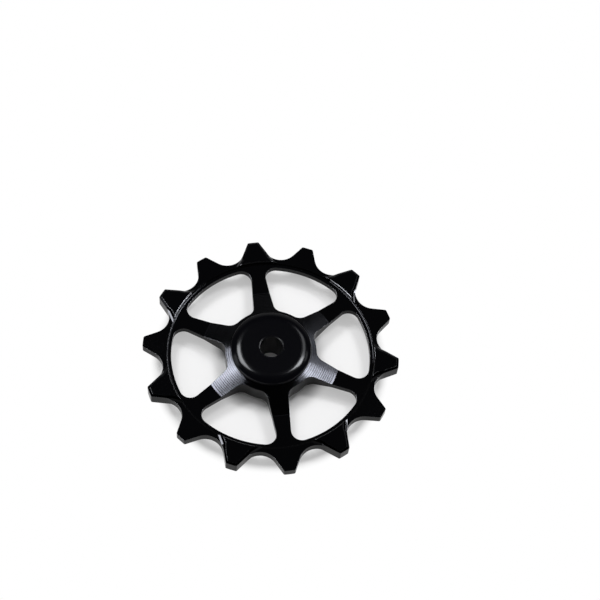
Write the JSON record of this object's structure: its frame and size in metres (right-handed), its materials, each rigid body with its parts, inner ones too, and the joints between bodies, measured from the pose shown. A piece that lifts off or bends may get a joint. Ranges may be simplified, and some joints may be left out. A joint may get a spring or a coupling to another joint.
{
  "type": "derailleur jockey wheel",
  "caption": "Spoked narrow-wide jockey wheel with a turned hub cone, a sealed ball bearing and two bolt-through caps, which guides a bicycle chain through a derailleur cage.",
  "frame": {"origin": "centre of the bolt bore at the wheel's mid-plane", "axes": "+Z along the bolt axis, towards the upper cap; +Y through a wide tooth and a spoke"},
  "size_m": [0.057, 0.058, 0.0082],
  "materials": {
    "wheel_anodised": "black anodised, turned and milled",
    "cap_anodised": "glossy black anodised",
    "ring_steel": "ground",
    "ball_steel": "polished",
    "cage_polymer": "moulded",
    "seal_rubber": "moulded"
  },
  "bodies": {
    "axle": {"upper_cap": "cap_anodised", "lower_cap": "cap_anodised", "inner_ring": "ring_steel"},
    "wheel": {"pulley_wheel": "wheel_anodised", "outer_ring": "ring_steel", "upper_seal": "seal_rubber", "lower_seal": "seal_rubber"},
    "cage": {"ball_cage": "cage_polymer"},
    "ball_1": {"ball_1": "ball_steel"},
    "ball_2": {"ball_2": "ball_steel"},
    "ball_3": {"ball_3": "ball_steel"},
    "ball_4": {"ball_4": "ball_steel"},
    "ball_5": {"ball_5": "ball_steel"},
    "ball_6": {"ball_6": "ball_steel"},
    "ball_7": {"ball_7": "ball_steel"},
    "ball_8": {"ball_8": "ball_steel"}
  },
  "joints": [
    {"name": "wheel_spin", "type": "hinge", "parent": "axle", "child": "wheel", "pos_m": [0, 0, 0], "axis": [0, 0, 1], "continuous": true},
    {"name": "cage_spin", "type": "hinge", "parent": "axle", "child": "cage", "pos_m": [0, 0, 0], "axis": [0, 0, 1], "continuous": true},
    {"name": "ball_1_spin", "type": "hinge", "parent": "cage", "child": "ball_1", "pos_m": [-0.00201, 0.00485, 0], "axis": [0, 0, 1], "continuous": true},
    {"name": "ball_2_spin", "type": "hinge", "parent": "cage", "child": "ball_2", "pos_m": [-0.00485, 0.00201, 0], "axis": [0, 0, 1], "continuous": true},
    {"name": "ball_3_spin", "type": "hinge", "parent": "cage", "child": "ball_3", "pos_m": [-0.00485, -0.00201, 0], "axis": [0, 0, 1], "continuous": true},
    {"name": "ball_4_spin", "type": "hinge", "parent": "cage", "child": "ball_4", "pos_m": [-0.00201, -0.00485, 0], "axis": [0, 0, 1], "continuous": true},
    {"name": "ball_5_spin", "type": "hinge", "parent": "cage", "child": "ball_5", "pos_m": [0.00201, -0.00485, 0], "axis": [0, 0, 1], "continuous": true},
    {"name": "ball_6_spin", "type": "hinge", "parent": "cage", "child": "ball_6", "pos_m": [0.00485, -0.00201, 0], "axis": [0, 0, 1], "continuous": true},
    {"name": "ball_7_spin", "type": "hinge", "parent": "cage", "child": "ball_7", "pos_m": [0.00485, 0.00201, 0], "axis": [0, 0, 1], "continuous": true},
    {"name": "ball_8_spin", "type": "hinge", "parent": "cage", "child": "ball_8", "pos_m": [0.00201, 0.00485, 0], "axis": [0, 0, 1], "continuous": true}
  ],
  "couplings": [
    {"joint": "cage_spin", "follows": "wheel_spin", "ratio": 0.59524},
    {"joint": "ball_1_spin", "follows": "wheel_spin", "ratio": 2.5298},
    {"joint": "ball_2_spin", "follows": "wheel_spin", "ratio": 2.5298},
    {"joint": "ball_3_spin", "follows": "wheel_spin", "ratio": 2.5298},
    {"joint": "ball_4_spin", "follows": "wheel_spin", "ratio": 2.5298},
    {"joint": "ball_5_spin", "follows": "wheel_spin", "ratio": 2.5298},
    {"joint": "ball_6_spin", "follows": "wheel_spin", "ratio": 2.5298},
    {"joint": "ball_7_spin", "follows": "wheel_spin", "ratio": 2.5298},
    {"joint": "ball_8_spin", "follows": "wheel_spin", "ratio": 2.5298}
  ]
}
